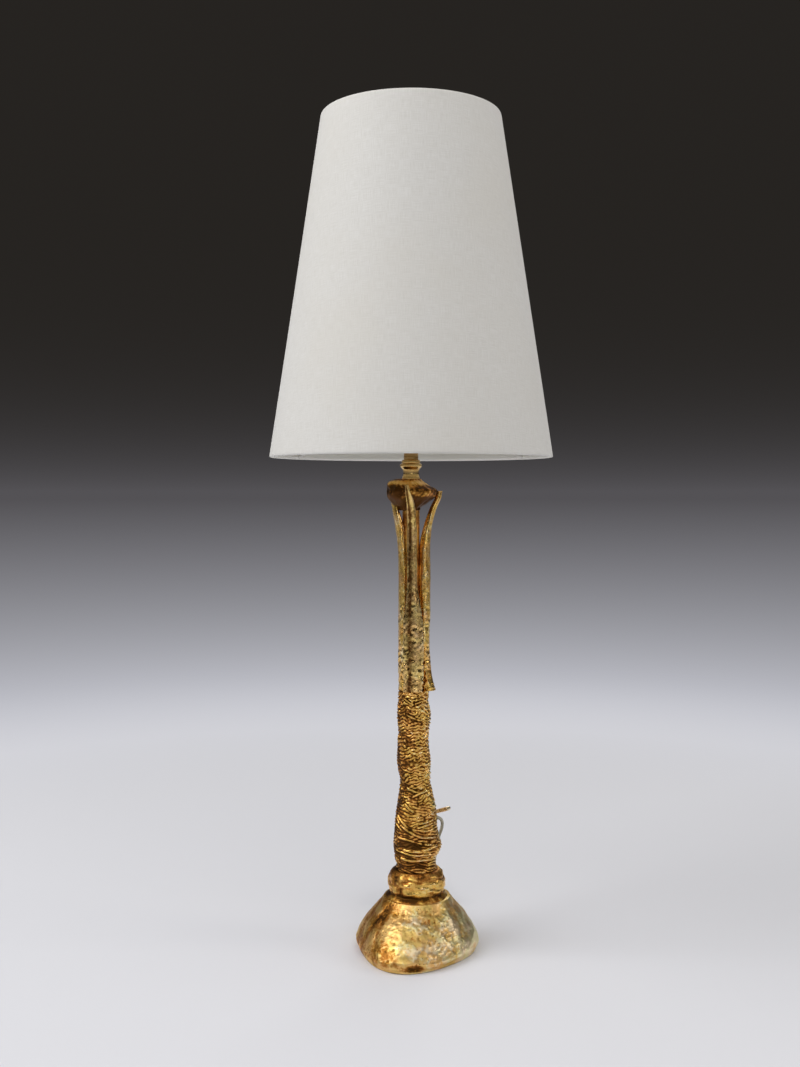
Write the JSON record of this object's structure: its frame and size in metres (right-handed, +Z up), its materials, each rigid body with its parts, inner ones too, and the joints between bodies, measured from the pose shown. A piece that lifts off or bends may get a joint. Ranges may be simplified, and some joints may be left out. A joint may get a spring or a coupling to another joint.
{
  "type": "table lamp",
  "caption": "Tall slender table lamp: cast gilt-bronze foot, cord-bound trunk and leaf-like uprights under a cup, with a tapered cloth shade, screw lampholder, toggle switch and corded plug.",
  "frame": {"origin": "on the floor, on the axis of the stem tube and the shade", "axes": "+Z up along the stem, front faces -Y, the switch and the cord leave the trunk at its rear right (+X, +Y)"},
  "size_m": [0.254, 0.2869, 0.745],
  "materials": {
    "gilt_bronze": "cast bronze, gilded and patinated, hammered relief",
    "polished_brass": "turned and polished",
    "holder_brass": "thin drawn brass",
    "steel": "zinc plated",
    "shade_cloth": "off-white cloth laminated on a stiff liner",
    "hem_tape": "same cloth, folded over the rim",
    "shade_wire": "white coated steel wire",
    "porcelain": "glazed insulator",
    "fibre": "vulcanised fibre",
    "opal_glass": "opal bulb glass",
    "bulb_metal": "thin aluminium screw cap",
    "felt": "dark green felt",
    "switch_plastic": "dark moulded",
    "clear_flex": "translucent clear flexible sheath",
    "plug_plastic": "moulded, off-white",
    "plug_pin": "nickel plated",
    "tie_plastic": "flat white strap"
  },
  "bodies": {
    "root": {"base_casting": "gilt_bronze", "collar_ring": "gilt_bronze", "trunk_casting": "gilt_bronze", "leaf_left": "gilt_bronze", "leaf_front": "gilt_bronze", "leaf_right": "gilt_bronze", "leaf_back": "gilt_bronze", "cup_cap": "gilt_bronze", "neck_ferrule": "polished_brass", "stem_tube": "polished_brass", "stem_sleeve": "polished_brass", "switch_bush": "polished_brass", "switch_nut": "polished_brass", "holder_cap": "holder_brass", "holder_shell": "holder_brass", "threaded_socket": "holder_brass", "centre_contact": "holder_brass", "switch_terminals": "holder_brass", "holder_terminals": "holder_brass", "holder_nipple": "holder_brass", "base_bolt": "steel", "base_washer": "steel", "tube_nut": "steel", "holder_core": "porcelain", "felt_pad": "felt", "switch_body": "switch_plastic", "cord_bush": "switch_plastic", "cord_run": "clear_flex", "cord_tail": "clear_flex", "cord_hank": "clear_flex", "feed_lead": "clear_flex", "lamp_lead": "clear_flex", "plug_body": "plug_plastic", "plug_pins": "plug_pin", "hank_tie": "tie_plastic"},
    "shade": {"shade_cover": "shade_cloth", "bottom_hem": "hem_tape", "top_hem": "hem_tape", "bottom_wire": "shade_wire", "top_wire": "shade_wire", "carrier_ring": "shade_wire", "carrier_arms": "shade_wire"},
    "ring_washer": {"fibre_washer": "fibre"},
    "ring": {"shade_ring": "holder_brass"},
    "bulb": {"bulb_glass": "opal_glass", "bulb_cap": "bulb_metal", "bulb_stem": "opal_glass"},
    "lever": {"toggle_lever": "polished_brass"}
  },
  "joints": [
    {"name": "switch_toggle", "type": "hinge", "parent": "root", "child": "lever", "pos_m": [0.01154, 0.01006, 0.1147], "axis": [0, 0, 1], "range_deg": [0, 25]},
    {"name": "shade_turn", "type": "hinge", "parent": "root", "child": "shade", "pos_m": [0, 0, 0.489], "axis": [0, 0, 1], "continuous": true},
    {"name": "ring_climb", "type": "slide", "parent": "root", "child": "ring_washer", "axis": [0, 0, 1], "range_m": [0, 0.01]},
    {"name": "ring_turn", "type": "hinge", "parent": "ring_washer", "child": "ring", "pos_m": [0, 0, 0.495], "axis": [0, 0, 1], "range_deg": [0, 1440]},
    {"name": "bulb_out", "type": "slide", "parent": "root", "child": "bulb", "axis": [0, 0, 1], "range_m": [0, 0.27]}
  ],
  "couplings": [
    {"joint": "ring_climb", "follows": "ring_turn", "m_per_rad": 0.00039789}
  ]
}
